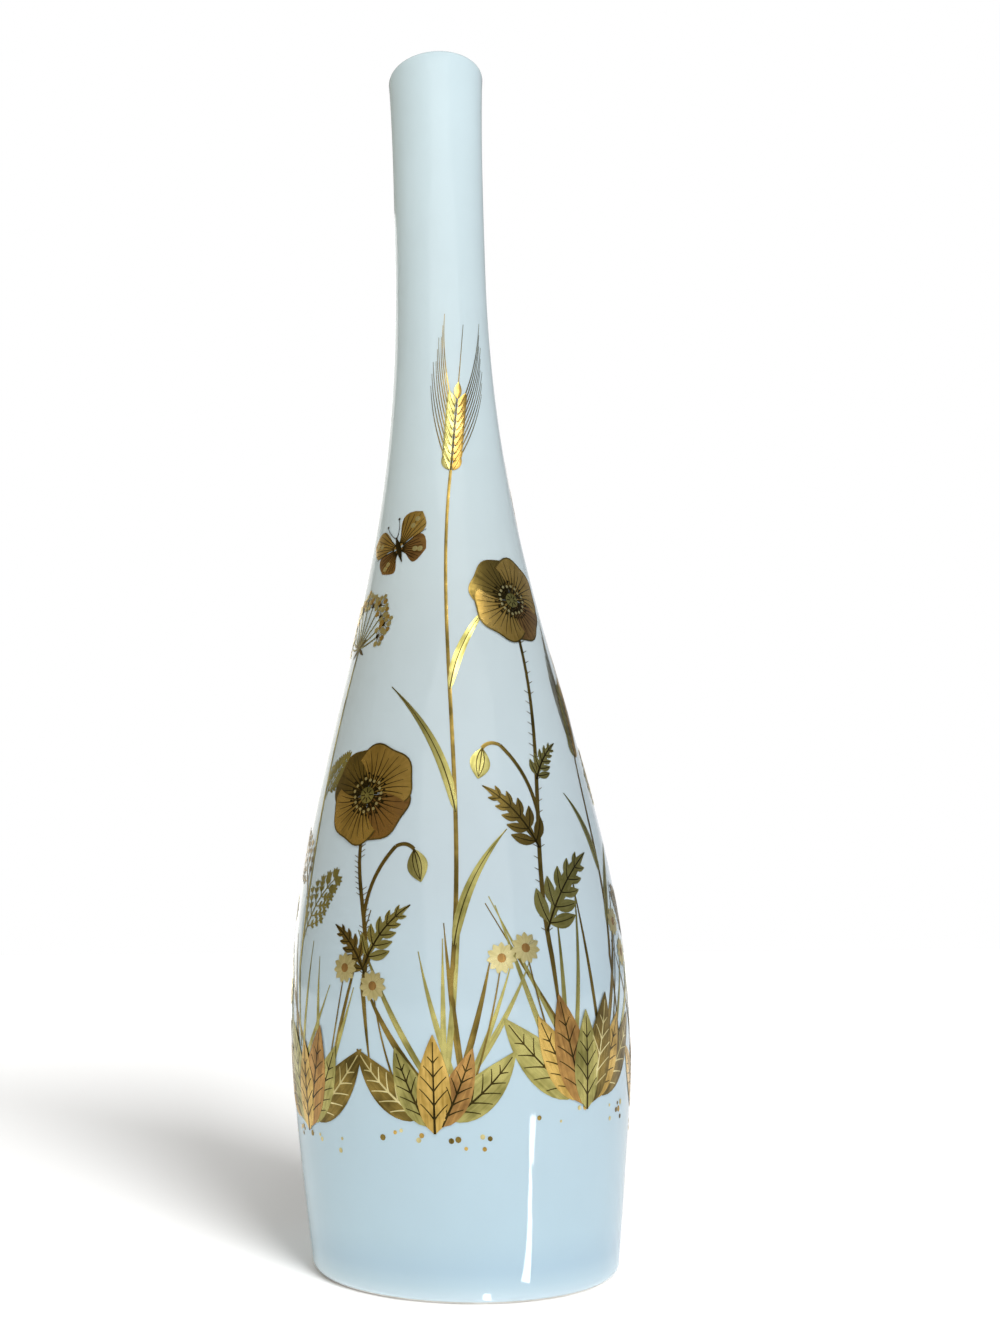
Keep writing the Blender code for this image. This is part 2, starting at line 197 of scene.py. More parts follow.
def glazedPorcelain(name, look):
    material, tree, place, shader = startMaterial(name)
    parts = addNode(tree, "ShaderNodeSeparateXYZ", {"Vector": place})
    level = addNode(
        tree, "ShaderNodeMapRange", {"Value": parts.outputs["Z"], "From Max": vaseShape["height"] * mm}
    )
    # the tint by height holds painted light from the floor in the pale band at the foot's edge
    tint = addNode(
        tree, "ShaderNodeValToRGB", {"Fac": level.outputs[0]},
        stops=[(share, hexColour(text)) for share, text in look["tints"].items()],
    )
    cloud = addNode(
        tree, "ShaderNodeTexNoise", {"Vector": place, "Scale": 1 / (look["cloudMm"] * mm), "Detail": 3.0}
    )
    shade = addNode(
        tree, "ShaderNodeMapRange",
        {
            "Value": cloud.outputs["Fac"], "From Min": look["cloudFrom"], "From Max": look["cloudFull"],
            "To Min": 1 - look["cloudDepth"], "To Max": 1.0,
        },
    )
    tinted = addNode(
        tree, "ShaderNodeVectorMath", {0: tint.outputs["Color"], 1: shade.outputs[0]}, operation="MULTIPLY"
    )
    drawn = addNode(
        tree, "ShaderNodeVectorMath", {0: place, 1: (1, 1, 1 / look["peelStretch"])}, operation="MULTIPLY"
    )
    peel = addNode(
        tree, "ShaderNodeTexNoise",
        {
            "Vector": drawn.outputs[0], "Scale": 1 / (look["peelMm"] * mm),
            "Detail": 3.0, "Roughness": look["peelFine"],
        },
    )
    bump = addNode(
        tree, "ShaderNodeBump",
        {"Height": peel.outputs["Fac"], "Strength": 1.0, "Distance": look["peelDepthMm"] * mm},
    )
    gloss = addNode(
        tree, "ShaderNodeMapRange",
        {
            "Value": cloud.outputs["Fac"],
            "To Min": look["roughness"] * look["wetter"], "To Max": look["roughness"] * look["drier"],
        },
    )
    tree.links.new(tinted.outputs[0], shader.inputs["Base Color"])
    tree.links.new(gloss.outputs[0], shader.inputs["Roughness"])
    tree.links.new(bump.outputs[0], shader.inputs["Normal"])
    shader.inputs["IOR"].default_value = look["ior"]
    return material


# bisque-hard bare porcelain on the resting ring: matt, faintly gritty, greyer where it has been set down
bareLook = dict(
    greyed="#CFCBC2", clean="#E4E1DA", wearMm=9.0, greyedTo=0.35, cleanFrom=0.65,
    gritMm=0.6, gritDepthMm=0.05, gritStrength=0.4, roughness=0.62,
)


def barePorcelain(name, look):
    material, tree, place, shader = startMaterial(name)
    grit = addNode(
        tree, "ShaderNodeTexNoise", {"Vector": place, "Scale": 1 / (look["gritMm"] * mm), "Detail": 4.0}
    )
    wear = addNode(
        tree, "ShaderNodeTexNoise", {"Vector": place, "Scale": 1 / (look["wearMm"] * mm), "Detail": 3.0}
    )
    tint = addNode(
        tree, "ShaderNodeValToRGB", {"Fac": wear.outputs["Fac"]},
        stops=[(look["greyedTo"], hexColour(look["greyed"])), (look["cleanFrom"], hexColour(look["clean"]))],
    )
    bump = addNode(
        tree, "ShaderNodeBump",
        {
            "Height": grit.outputs["Fac"], "Strength": look["gritStrength"],
            "Distance": look["gritDepthMm"] * mm,
        },
    )
    tree.links.new(tint.outputs["Color"], shader.inputs["Base Color"])
    tree.links.new(bump.outputs[0], shader.inputs["Normal"])
    shader.inputs["Roughness"].default_value = look["roughness"]
    return material


# burnished gilding: brushed on in strokes, so its tone drifts and fine streaks follow the brush
giltTones = dict(  # where the gold lies thick, and where it lies thin
    yellowGold=("#DDB968", "#A58640"),
    paleGold=("#E6DAA2", "#BDB077"),
    greenGold=("#BCB36E", "#827C44"),
    bronzeGold=("#927C40", "#564922"),
    copperGold=("#BE9355", "#815F37"),
    darkBronze=("#4A3E1E", "#2E2712"),
)
giltLook = dict(
    driftMm=7.0, streakMm=0.7, streakLengthMm=9.0, streakShare=0.55,  # streaks drawn coarse so that they show
    thinAt=0.58, thickAt=0.92, wornAt=0.6, smoothAt=1.0, worn=0.42, smooth=0.2,
    grainMm=0.7, grainDepthMm=0.02, grainStrength=0.6,  # the grain of the rubbing, drawn coarse too
)


def burnishedGilding(name, tones, look):
    material, tree, place, shader = startMaterial(name)
    thick, thin = tones
    drift = addNode(
        tree, "ShaderNodeTexNoise",
        {"Vector": place, "Scale": 1 / (look["driftMm"] * mm), "Detail": 3.0, "Roughness": 0.6},
    )
    brush = addNode(tree, "ShaderNodeUVMap", uv_map="brush")  # across and along the stroke, millimetres
    stretch = addNode(
        tree, "ShaderNodeMapping",
        {"Vector": brush.outputs[0], "Scale": (1 / look["streakMm"], 1 / look["streakLengthMm"], 1.0)},
    )
    streaks = addNode(tree, "ShaderNodeTexNoise", {"Vector": stretch.outputs[0], "Scale": 1.0, "Detail": 2.0})
    laid = addNode(
        tree, "ShaderNodeMath",
        {0: streaks.outputs["Fac"], 1: look["streakShare"], 2: drift.outputs["Fac"]},
        operation="MULTIPLY_ADD",
    )
    tint = addNode(
        tree, "ShaderNodeValToRGB", {"Fac": laid.outputs[0]},
        stops=[(look["thinAt"], hexColour(thin)), (look["thickAt"], hexColour(thick))],
    )
    shine = addNode(
        tree, "ShaderNodeMapRange",
        {
            "Value": laid.outputs[0], "From Min": look["wornAt"], "From Max": look["smoothAt"],
            "To Min": look["worn"], "To Max": look["smooth"],
        },
    )
    grain = addNode(
        tree, "ShaderNodeTexNoise", {"Vector": place, "Scale": 1 / (look["grainMm"] * mm), "Detail": 2.0}
    )
    bump = addNode(
        tree, "ShaderNodeBump",
        {
            "Height": grain.outputs["Fac"], "Strength": look["grainStrength"],
            "Distance": look["grainDepthMm"] * mm,
        },
    )
    tree.links.new(tint.outputs["Color"], shader.inputs["Base Color"])
    tree.links.new(shine.outputs[0], shader.inputs["Roughness"])
    tree.links.new(bump.outputs[0], shader.inputs["Normal"])
    shader.inputs["Metallic"].default_value = 1.0
    return material


outerGlazeMaterial = glazedPorcelain("glazedPorcelain", glazeLook)
liningGlazeMaterial = glazedPorcelain("glazedPorcelainLining", liningLook)
barePorcelainMaterial = barePorcelain("barePorcelain", bareLook)
giltNames = list(giltTones)
giltMaterials = [burnishedGilding(name, giltTones[name], giltLook) for name in giltNames]
print("materials made:", len(bpy.data.materials))


# the turned layers

def makePiece(name, bm, materials, node):
    mesh = bpy.data.meshes.new(name)
    bm.to_mesh(mesh)
    bm.free()
    for material in materials:
        mesh.materials.append(material)
    piece = bpy.data.objects.new(name, mesh)
    bpy.context.scene.collection.objects.link(piece)
    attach(piece, "root")
    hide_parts(node)
    return piece


def turnedPiece(name, outline, material, node):
    bm = bmesh.new()
    verts = [bm.verts.new((p.x * mm, 0, p.y * mm)) for p in outline]
    edges = [bm.edges.new(pair) for pair in zip(verts, verts[1:])]
    if outline[0].x > 0:
        edges.append(bm.edges.new((verts[-1], verts[0])))
    bmesh.ops.spin(
        bm, geom=verts + edges, cent=(0, 0, 0), axis=(0, 0, 1), dvec=(0, 0, 0),
        angle=math.tau, steps=vaseShape["turns"], use_merge=True,
    )
    bmesh.ops.remove_doubles(bm, verts=bm.verts, dist=0.002 * mm)
    bmesh.ops.recalc_face_normals(bm, faces=bm.faces)
    if bm.calc_volume(signed=True) < 0:
        bmesh.ops.reverse_faces(bm, faces=bm.faces)
    for face in bm.faces:
        face.smooth = True
    makePiece(name, bm, [material], node)


def makeVase(s):
    outer = outsideSkin(s)
    inner = insideSkin(s)
    outerCoat = outer[::-1] + insetRun(outer, s["glaze"])
    innerCoat = inner[::-1] + insetRun(inner, s["glaze"])
    turnedPiece("outerGlazeCoat", outerCoat, outerGlazeMaterial, "outer_glaze")
    turnedPiece("innerGlazeCoat", innerCoat, liningGlazeMaterial, "inner_glaze")
    depth = s["glaze"] + s["bond"]
    bare = footEdge(s, s["bareStart"], -90)
    ring = bare[-1].x - s["ringWidth"]
    bevelIn, bevelUp = s["ringBevel"]
    under = [
        Vector((ring, 0)), Vector((ring - bevelIn, bevelUp)),
        Vector((ring - s["recessSlope"], s["recess"])), Vector((0, s["recess"])),
    ]
    body = insetRun(inner, depth)[::-1] + insetRun(outer, depth)[-2::-1] + bare + under
    turnedPiece("castPorcelainBody", body, barePorcelainMaterial, "porcelain_body")
    top = s["recess"] - s["bond"]
    low = top - s["glaze"]
    edge = ring - s["recessSlope"] - s["discGap"]
    bevelIn, bevelUp = s["discBevel"]
    disc = [
        Vector((0, top)), Vector((edge, top)), Vector((edge, low + bevelUp)),
        Vector((edge - bevelIn, low)), Vector((0, low)),
    ]
    turnedPiece("baseGlazeDisc", disc, liningGlazeMaterial, "base_glaze")


makeVase(vaseShape)
print("vase turned")


# gilding, drawn flat in millimetres (across, up, out) and then bent round the glaze:
# a stroke's lift keeps it above the strokes that it covers

giltFilm = dict(thickness=0.02, lift=0.5, sharpFrom=40.0)  # lift: the share of the drawn layering kept
giltPieces = []


def startGilding():
    bm = bmesh.new()
    bm.loops.layers.uv.new("brush")
    return bm


def paintFaces(bm, spots, toneName):
    layer = bm.loops.layers.uv["brush"]
    shift = len(bm.verts) * 0.37 % 50  # gives every stroke its own streaks
    for face in {face for vert in spots for face in vert.link_faces}:
        face.material_index = giltNames.index(toneName)
        for loop in face.loops:
            across, along = spots[loop.vert]
            loop[layer].uv = (across + shift, along)


def headingVector(degrees):
    return Vector((math.sin(math.radians(degrees)), math.cos(math.radians(degrees))))


def headingOf(step):
    return math.degrees(math.atan2(step.x, step.y))


def bowedPath(start, heading, length, bow, steps):
    ahead = headingVector(heading)
    aside = Vector((ahead.y, -ahead.x))
    start = Vector(start)
    middle = start + ahead * length / 2 + aside * bow
    end = start + ahead * length
    shares = [i / steps for i in range(steps + 1)]
    return [start * (1 - t) ** 2 + middle * 2 * t * (1 - t) + end * t * t for t in shares]


# half widths of a leaf along its length, fullest at that share of it
def leafWidths(width, steps, fullest=0.4, tip=0.12):
    power = math.log(0.5) / math.log(fullest)
    return [max(tip, width / 2 * math.sin(math.pi * (i / steps) ** power) ** 0.85) for i in range(steps + 1)]


def addStroke(bm, path, halfWidths, lift, toneName, across=2, crown=0.03):
    rows = len(path) - 1
    reach = (path[-1] - path[0]).length
    spots = {}
    for vert in bmesh.ops.create_grid(bm, x_segments=across, y_segments=rows, size=1.0)["verts"]:
        row = round((vert.co.y + 1) / 2 * rows)
        side = vert.co.x
        along = (path[min(row + 1, rows)] - path[max(row - 1, 0)]).normalized()
        spot = path[row] + Vector((along.y, -along.x)) * side * halfWidths[row]
        vert.co = (spot.x, spot.y, lift + crown * (1 - side * side))
        spots[vert] = (side * halfWidths[row], reach * row / rows)
    paintFaces(bm, spots, toneName)


def addLine(bm, path, width, lift, toneName, tip=0.5):
    rows = len(path) - 1
    halves = [width / 2 * (1 - (1 - tip) * i / rows) for i in range(rows + 1)]
    addStroke(bm, path, halves, lift, toneName, across=1, crown=0.0)


def addDot(bm, centre, radius, lift, toneName, sides, crown=0.08):
    spots = {}
    disc = bmesh.ops.create_circle(bm, cap_ends=True, cap_tris=True, segments=sides, radius=radius)
    for vert in disc["verts"]:
        rise = crown if vert.co.length < radius / 2 else 0.0
        spots[vert] = (vert.co.x, vert.co.y)
        vert.co = (vert.co.x + centre[0], vert.co.y + centre[1], lift + rise)
    paintFaces(bm, spots, toneName)


def bendRound(bm, bearing):
    for vert in bm.verts:
        across, up, out = vert.co
        radius = radiusAt(up)
        turn = math.radians(bearing) + across / radius
        reach = radius + out * giltFilm["lift"]
        vert.co = (reach * math.sin(turn) * mm, -reach * math.cos(turn) * mm, up * mm)


def finishGilding(bm, node, bearing):
    bendRound(bm, bearing)
    bm.normal_update()
    inward = [face for face in bm.faces if face.normal.xy.dot(face.calc_center_median().xy) < 0]
    bmesh.ops.reverse_faces(bm, faces=inward)
    bmesh.ops.solidify(bm, geom=bm.faces[:], thickness=giltFilm["thickness"] * mm)
    for face in bm.faces:
        face.smooth = True
    for edge in bm.edges:
        edge.smooth = edge.calc_face_angle(math.pi) < math.radians(giltFilm["sharpFrom"])
    giltPieces.append(makePiece(node + "_painted", bm, giltMaterials, node))


# stalks: every plant has its foot, its top and how far it sinks among the leaves, in millimetres up the vase

stalkBrush = dict(
    steps=30, lift=0.16, crown=0.06, taper=0.35,
    rootSteps=6, rootAside=0.1, rootWidth=0.3, rootGain=0.12,
    hairFrom=8, hairSkip=7, hairTurn=62.0, hairLength=1.7, hairWidth=0.22,
)


def addStalk(bm, plant, width, toneName, hairs=0, brush=stalkBrush):
    foot, top, lean, sway, sink = (plant[key] for key in ("foot", "top", "lean", "sway", "sink"))
    third = (top - foot) / 3
    stem = bezierRun(
        Vector((0, foot)), Vector((sway, foot + third)),
        Vector((lean - sway, top - third)), Vector((lean, top)), brush["steps"],
    )
    aside = sink * brush["rootAside"]
    root = bowedPath((aside, foot - sink), headingOf(Vector((-aside, sink))), sink, 0, brush["rootSteps"])
    path = root[:-1] + stem
    rows = len(path) - 1
    halves = []
    for i in range(rows + 1):
        swelling = min(1, brush["rootWidth"] + i * brush["rootGain"])
        halves.append(width / 2 * (1 - brush["taper"] * i / rows) * swelling)
    addStroke(bm, path, halves, brush["lift"], toneName, crown=brush["crown"])
    for i in range(hairs):
        row = brush["hairFrom"] + i * brush["hairSkip"] % (rows - brush["hairFrom"] - 1)
        side = 1 if i % 2 else -1
        hair = bowedPath(path[row], side * brush["hairTurn"], brush["hairLength"], 0, 3)
        addLine(bm, hair, brush["hairWidth"], brush["lift"] + 0.02, toneName)
    return stem


# poppies: lobed leaves, four petals, rings of stamens and a nodding bud

poppies = dict(
    plants={  # leaves give the share of the stem, the side and the length
        "gilt_poppy_tall": dict(
            at=31.0, foot=70.0, sink=18.0, top=148.0, lean=4.0, sway=-4.0, bloom=11.5, bud=-1,
            leaves=((0.06, 1, 23), (0.3, -1, 18), (0.5, 1, 12)),
        ),
        "gilt_poppy_low": dict(
            at=-31.0, foot=64.0, sink=16.0, top=100.0, lean=-2.0, sway=3.0, bloom=12.0, bud=1,
            leaves=((0.05, -1, 14), (0.12, 1, 16)),
        ),
        "gilt_poppy_back": dict(
            at=174.0, foot=70.0, sink=18.0, top=130.0, lean=2.0, sway=4.0, bloom=12.0, bud=-1,
            leaves=((0.06, 1, 22), (0.3, -1, 19)),
        ),
    },
    stemWidth=1.25, hairs=34, veinWidth=0.3,
    leafTurn=40.0, leafBow=0.16, leafMiddle=0.15, ribWidth=0.5,
    lobeReach=0.34, lobeShrink=0.045, lobeTurn=48.0, lobeClose=3.0, lobeWidth=0.42,
    petals=(  # heading, scale and tone, the hindmost first
        (-48, 0.97, "bronzeGold"), (134, 0.93, "copperGold"),
        (40, 1.0, "yellowGold"), (-138, 0.95, "yellowGold"),
    ),
    petalSpread=62.0, petalVeins=5, rimWidth=0.36,
    stamens=(  # share of the bloom, how many, radius and tone of their heads
        (0.22, 13, 0.34, "darkBronze"), (0.31, 18, 0.4, "paleGold"), (0.4, 22, 0.3, "darkBronze"),
    ),
    stamenWidth=0.2, seedHead=0.16, seedRays=8,
    budAt=12, budTurns=(24.0, 100.0, 164.0), budReaches=(17.0, 4.4, 7.5),  # of its stem, its crook and itself
    budWidth=4.6, budStemWidth=0.9, budCrookWidth=0.84, budLineWidth=0.28,
)


def addLobedLeaf(bm, start, heading, length, bow, lift, fill, look):
    path = bowedPath(start, heading, length, bow, 12)
    for i, row in enumerate((2, 4, 6, 8, 10)):
        reach = length * (look["lobeReach"] - look["lobeShrink"] * i)
        lean = headingOf(path[row + 1] - path[row])
        for side in (-1, 1):
            turn = lean + side * (look["lobeTurn"] - look["lobeClose"] * i)
            lobe = bowedPath(path[row - 1], turn, reach, side * reach * 0.1, 8)
            addStroke(bm, lobe, leafWidths(reach * look["lobeWidth"], 8, 0.5), lift, fill, across=4)
            addLine(bm, lobe[:-1], look["veinWidth"], lift + 0.05, "darkBronze")
    addStroke(bm, path, leafWidths(length * look["leafMiddle"], 12, 0.55), lift + 0.03, fill)
    addLine(bm, path, look["ribWidth"], lift + 0.09, "darkBronze")


# a place on a petal: side runs from -1 to 1 across it, share from its root to its rounded, slightly wavy rim
def petalSpot(centre, heading, radius, spread, side, share):
    reach = radius * share * (1 - 0.2 * abs(side) ** 3.5 * share + 0.035 * math.sin(side * 8.5) * share)
    return centre + headingVector(heading + side * spread * (0.35 + 0.65 * share ** 0.5)) * reach


def addPetal(bm, centre, heading, radius, lift, fill, look):
    petal = (centre, heading, radius, look["petalSpread"])
    spots = {}
    for vert in bmesh.ops.create_grid(bm, x_segments=14, y_segments=10, size=1.0)["verts"]:
        side = vert.co.x
        share = 0.06 + 0.94 * (vert.co.y + 1) / 2
        spot = petalSpot(*petal, side, share)
        vert.co = (spot.x, spot.y, lift + 0.06 * (1 - side * side) + 0.05 * share)
        spots[vert] = (side * radius * 0.7, share * radius)
    paintFaces(bm, spots, fill)
    for i in range(-look["petalVeins"], look["petalVeins"] + 1):
        side = i / (look["petalVeins"] + 0.6)
        reach = 0.68 - 0.1 * (i % 2)
        vein = [petalSpot(*petal, side, 0.25 + reach * step / 6) for step in range(7)]
        addLine(bm, vein, look["veinWidth"], lift + 0.12, "darkBronze", tip=0.3)
    rim = [petalSpot(*petal, step / 12 - 1, 1.0) for step in range(25)]
    addLine(bm, rim, look["rimWidth"], lift + 0.12, "bronzeGold", tip=1.0)


def addPoppyBloom(bm, centre, radius, lift, look):
    for order, (heading, scale, fill) in enumerate(look["petals"]):
        addPetal(bm, centre, heading, radius * scale, lift + 0.1 * order, fill, look)
    top = lift + 0.55
    for ring, (share, count, size, headTone) in enumerate(look["stamens"]):
        for i in range(count):
            heading = 360 / count * i + ring * 7
            spot = centre + headingVector(heading) * radius * share * dice.uniform(0.92, 1.1)
            root = centre.lerp(spot, 0.3)
            addLine(bm, [root, root.lerp(spot, 0.5), spot], look["stamenWidth"], top, "darkBronze")
            addDot(bm, spot, size, top + 0.05, headTone, 8)
    addDot(bm, centre, radius * look["seedHead"], top + 0.12, "greenGold", 18)
    for i in range(look["seedRays"]):
        heading = 360 / look["seedRays"] * i
        ray = bowedPath(centre + headingVector(heading) * radius * 0.05, heading, radius * 0.09, 0, 2)
        addLine(bm, ray, look["veinWidth"], top + 0.22, "darkBronze")


def addPoppyBud(bm, start, side, lift, look):
    stemTurn, crookTurn, budTurn = (side * turn for turn in look["budTurns"])
    stemReach, crookReach, budReach = look["budReaches"]
    stem = bowedPath(start, stemTurn, stemReach, -side * 3, 12)
    addStroke(bm, stem, [look["budStemWidth"] / 2] * len(stem), lift, "bronzeGold")
    crook = bowedPath(stem[-1], crookTurn, crookReach, -side * 1.6, 8)
    addStroke(bm, crook, [look["budCrookWidth"] / 2] * len(crook), lift, "bronzeGold")
    bud = bowedPath(crook[-1], budTurn, budReach, 0, 10)
    addStroke(bm, bud, leafWidths(look["budWidth"], 10, 0.5), lift + 0.06, "greenGold", across=6, crown=0.15)
    for bow in (-1.75, 0.0, 1.75):
        line = bowedPath(crook[-1], budTurn, budReach - 0.5, bow, 6)
        addLine(bm, line, look["budLineWidth"], lift + 0.24, "darkBronze")


def makePoppies(look):
    for node, plant in look["plants"].items():
        bm = startGilding()
        stem = addStalk(bm, plant, look["stemWidth"], "bronzeGold", look["hairs"])
        for share, side, length in plant["leaves"]:
            start = stem[round(share * stalkBrush["steps"])]
            bow = -side * length * look["leafBow"]
            fill = "greenGold" if side > 0 else "bronzeGold"
            addLobedLeaf(bm, start, side * look["leafTurn"], length, bow, 0.2, fill, look)
        addPoppyBud(bm, stem[look["budAt"]], plant["bud"], 0.18, look)
        addPoppyBloom(bm, stem[-1] + Vector((0, plant["bloom"] / 2)), plant["bloom"], 0.2, look)
        finishGilding(bm, node, plant["at"])


# umbels: feathery leaves, and rays that end in small heads of florets

umbels = dict(
    plants={
        "gilt_umbel_tall": dict(
            at=-66.0, foot=68.0, sink=18.0, top=144.0, lean=2.0, sway=4.0, spread=12.0,
            leaves=((0.06, 1, 20), (0.2, -1, 22), (0.5, 1, 13)),
        ),
        "gilt_umbel_low": dict(
            at=90.0, foot=68.0, sink=18.0, top=106.0, lean=3.0, sway=-3.0, spread=13.0,
            leaves=((0.1, -1, 17), (0.25, 1, 14)),
        ),
        "gilt_umbel_back": dict(
            at=-120.0, foot=70.0, sink=18.0, top=140.0, lean=2.0, sway=-4.0, spread=12.0,
            leaves=((0.1, 1, 20), (0.25, -1, 18)),
        ),
    },
    stemWidth=1.15, leafTurn=42.0, leafBow=0.14, ribWidth=0.5,
    twigTurn=46.0, twigReach=0.34, twigWidth=0.36, leafletTurn=38.0, leafletLength=1.6, leafletWidth=0.75,
    rays=5, rayTurn=15.5, rayWidth=0.5, rayBow=0.22, rayKnot=0.55,  # rays and florets are counted on one side
    florets=3, floretTurn=34.0, floretReaches=(2.5, 1.9), floretRadius=0.62, floretGain=0.12,
    floretStalk=0.24,
    bractTurns=(-128, -64, 0, 64, 128), bractLength=3.6, bractWidth=0.9,
)


def addFeatherLeaf(bm, start, heading, length, bow, lift, fill, look):
    path = bowedPath(start, heading, length, bow, 14)
    addLine(bm, path, look["ribWidth"], lift + 0.03, fill)
    for row in range(3, 14, 2):
        lean = headingOf(path[row] - path[row - 1])
        reach = length * look["twigReach"] * (1 - (row / 15) ** 1.4)
        for side in (-1, 1):
            turn = lean + side * look["twigTurn"]
            twig = bowedPath(path[row], turn, reach, side * reach * 0.08, 6)
            addLine(bm, twig, look["twigWidth"], lift + 0.02, fill)
            for step in (2, 4, 6):
                for fan in (-1, 0, 1):
                    aim = turn + fan * look["leafletTurn"]
                    leaflet = bowedPath(twig[step], aim, look["leafletLength"], 0, 4)
                    addStroke(bm, leaflet, leafWidths(look["leafletWidth"], 4, 0.5), lift, fill, across=1)


def addUmbelHead(bm, hub, spread, look):
    for ray in range(-look["rays"], look["rays"] + 1):
        turn = ray * look["rayTurn"]
        reach = spread * (1 - 0.012 * ray * ray) * (0.9 if ray % 2 else 1.0)
        spoke = bowedPath(hub, turn, reach, ray * look["rayBow"], 10)
        end = spoke[-1]
        addLine(bm, spoke, look["rayWidth"], 0.2, "greenGold", tip=0.7)
        for i in range(-look["florets"], look["florets"] + 1):
            floret = end + headingVector(turn + i * look["floretTurn"]) * look["floretReaches"][i % 2]
            addLine(bm, [end, end.lerp(floret, 0.5), floret], look["floretStalk"], 0.22, "bronzeGold")
            radius = look["floretRadius"] + look["floretGain"] * (i % 2)
            lift = 0.26 + 0.01 * (i + look["florets"])
            addDot(bm, floret, radius, lift, "paleGold" if (i + ray) % 3 else "yellowGold", 10)
        addDot(bm, end, look["rayKnot"], 0.24, "darkBronze", 8)
    for turn in look["bractTurns"]:
        bract = bowedPath(hub, turn, look["bractLength"], 0, 5)
        addStroke(bm, bract, leafWidths(look["bractWidth"], 5, 0.5), 0.19, "bronzeGold")


def makeUmbels(look):
    for node, plant in look["plants"].items():
        bm = startGilding()
        stem = addStalk(bm, plant, look["stemWidth"], "greenGold")
        for share, side, length in plant["leaves"]:
            start = stem[round(share * stalkBrush["steps"])]
            bow = -side * length * look["leafBow"]
            fill = "greenGold" if side > 0 else "bronzeGold"
            addFeatherLeaf(bm, start, side * look["leafTurn"], length, bow, 0.18, fill, look)
        addUmbelHead(bm, stem[-1], plant["spread"], look)
        finishGilding(bm, node, plant["at"])


# barley: long blades, and ears of paired grains with awns

barley = dict(
    plants={
        "gilt_barley_tall": dict(
            at=-2.0, foot=64.0, sink=16.0, top=188.0, lean=2.0, sway=5.0, ear=36.0,
            leaves=((0.08, 1, 28), (0.3, -1, 34), (0.52, 1, 26)),
        ),
        "gilt_barley_right": dict(
            at=60.0, foot=70.0, sink=18.0, top=116.0, lean=3.0, sway=3.0, ear=28.0,
            leaves=((0.15, 1, 22), (0.4, -1, 20)),
        ),
        "gilt_barley_back": dict(
            at=130.0, foot=70.0, sink=18.0, top=156.0, lean=-4.0, sway=-4.0, ear=32.0,
            leaves=((0.2, 1, 28), (0.45, -1, 24)),
        ),
    },
    stemWidth=1.1, bladeTurn=26.0, bladeBow=0.16, bladeWidth=2.3, bladeLine=0.3,
    earShare=0.56, spineWidth=0.5, grains=9, grainTurn=21.0, grainAside=0.5, grainBow=0.35,
    grainLength=4.6, grainWidth=2.1, grainLine=0.22, topGrainLength=4.8, topGrainWidth=2.0,
    awnTurn=7.0, awnFan=0.8, awnShare=0.55, awnGain=0.03, topAwnShare=0.6,
    awnBow=1.3, awnWidth=0.3, awnTip=0.35,
)


def addEar(bm, base, heading, length, lift, look):
    grains = look["grains"]
    spine = bowedPath(base, heading, length * look["earShare"], 0, grains)
    addLine(bm, spine, look["spineWidth"], lift, "darkBronze")
    widths = leafWidths(look["grainWidth"], 8, 0.45)
    for i in range(grains):
        layer = lift + 0.012 * i
        for side in (-1, 1):
            root = spine[i] + headingVector(heading + side * 90) * look["grainAside"]
            turn = heading + side * look["grainTurn"]
            grain = bowedPath(root, turn, look["grainLength"], side * look["grainBow"], 8)
            fill = "yellowGold" if side > 0 else "greenGold"
            addStroke(bm, grain, widths, layer + 0.05, fill, across=4, crown=0.14)
            addLine(bm, grain[:-1], look["grainLine"], layer + 0.22, "darkBronze")
            turn = heading + side * (look["awnTurn"] + look["awnFan"] * (grains - i))
            reach = length * (look["awnShare"] + look["awnGain"] * (i % 3))
            awn = bowedPath(grain[-1], turn, reach, side * look["awnBow"], 12)
            addLine(bm, awn, look["awnWidth"], lift + 0.03, "bronzeGold", look["awnTip"])
    topGrain = bowedPath(spine[-1], heading, look["topGrainLength"], 0, 8)
    widths = leafWidths(look["topGrainWidth"], 8, 0.45)
    addStroke(bm, topGrain, widths, lift + 0.2, "yellowGold", across=4, crown=0.14)
    topAwn = bowedPath(spine[-1], heading, length * look["topAwnShare"], 0, 10)
    addLine(bm, topAwn, look["awnWidth"], lift + 0.04, "bronzeGold", look["awnTip"])


def makeBarley(look):
    for node, plant in look["plants"].items():
        bm = startGilding()
        stem = addStalk(bm, plant, look["stemWidth"], "bronzeGold")
        for share, side, length in plant["leaves"]:
            start = stem[round(share * stalkBrush["steps"])]
            bow = -side * length * look["bladeBow"]
            blade = bowedPath(start, side * look["bladeTurn"], length, bow, 18)
            addStroke(bm, blade, leafWidths(look["bladeWidth"], 18, 0.3), 0.2, "greenGold", across=4)
            addLine(bm, blade, look["bladeLine"], 0.26, "darkBronze", tip=0.3)
        addEar(bm, stem[-1], headingOf(stem[-1] - stem[-3]), plant["ear"], 0.2, look)
        finishGilding(bm, node, plant["at"])


# clumps of broad leaves at the ground, with grasses behind, two daisies and scattered dots

